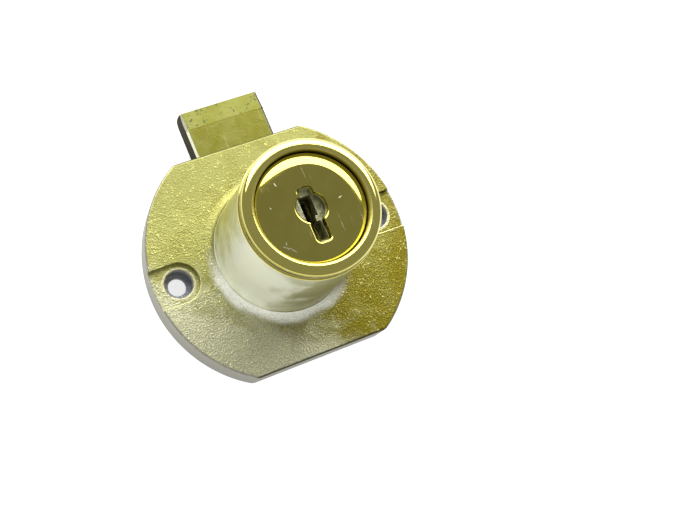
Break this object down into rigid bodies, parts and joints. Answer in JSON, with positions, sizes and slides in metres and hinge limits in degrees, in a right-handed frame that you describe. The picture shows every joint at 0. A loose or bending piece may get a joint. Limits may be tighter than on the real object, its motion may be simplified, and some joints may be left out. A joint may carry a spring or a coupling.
{
  "type": "drawer lock",
  "caption": "Round flanged drawer lock: a key-turned wafer plug in a barrel drives a square dead bolt out past a flat of its case.",
  "frame": {"origin": "where the barrel's axis meets the mounting face, the front of the round case", "axes": "+Z along the barrel's axis towards the key, +Y the way the bolt shoots, X through both screw holes"},
  "size_m": [0.0474, 0.0492, 0.0318],
  "materials": {
    "zinc_casting": "zinc die casting with a yellow passivated plating, grainy",
    "polished_brass": "polished",
    "plug_metal": "zinc die casting, satin plated",
    "bolt_metal": "zinc die casting with a yellow passivated plating, satin",
    "plated_steel": "zinc plated",
    "spring_steel": "bright",
    "wafer_brass": "stamped, satin",
    "spring_wire": "bright wire"
  },
  "bodies": {
    "case": {"housing": "zinc_casting", "bezel": "polished_brass", "back_plate": "plated_steel", "back_plate_rivets": "plated_steel", "thrust_washer": "spring_steel"},
    "plug": {"plug": "plug_metal", "plug_face": "polished_brass", "retaining_clip": "spring_steel", "crank_pin": "spring_steel", "wafer_spring_1": "spring_wire", "wafer_spring_2": "spring_wire", "wafer_spring_3": "spring_wire", "wafer_spring_4": "spring_wire", "wafer_spring_5": "spring_wire"},
    "bolt": {"bolt": "bolt_metal"},
    "wafer_1": {"wafer_1": "wafer_brass"},
    "wafer_2": {"wafer_2": "wafer_brass"},
    "wafer_3": {"wafer_3": "wafer_brass"},
    "wafer_4": {"wafer_4": "wafer_brass"},
    "wafer_5": {"wafer_5": "wafer_brass"}
  },
  "joints": [
    {"name": "plug_turn", "type": "hinge", "parent": "case", "child": "plug", "pos_m": [0, 0, 0], "axis": [0, 0, -1], "range_deg": [0, 180]},
    {"name": "bolt_slide", "type": "slide", "parent": "case", "child": "bolt", "axis": [0, -1, 0], "range_m": [0, 0.0088]},
    {"name": "wafer_1_slide", "type": "slide", "parent": "plug", "child": "wafer_1", "axis": [0, 1, 0], "range_m": [0, 0.0011]},
    {"name": "wafer_2_slide", "type": "slide", "parent": "plug", "child": "wafer_2", "axis": [0, 1, 0], "range_m": [0, 0.0011]},
    {"name": "wafer_3_slide", "type": "slide", "parent": "plug", "child": "wafer_3", "axis": [0, 1, 0], "range_m": [0, 0.0011]},
    {"name": "wafer_4_slide", "type": "slide", "parent": "plug", "child": "wafer_4", "axis": [0, 1, 0], "range_m": [0, 0.0011]},
    {"name": "wafer_5_slide", "type": "slide", "parent": "plug", "child": "wafer_5", "axis": [0, 1, 0], "range_m": [0, 0.0011]}
  ],
  "couplings": [
    {"joint": "plug_turn", "follows": "bolt_slide", "rad_per_m": 357}
  ]
}
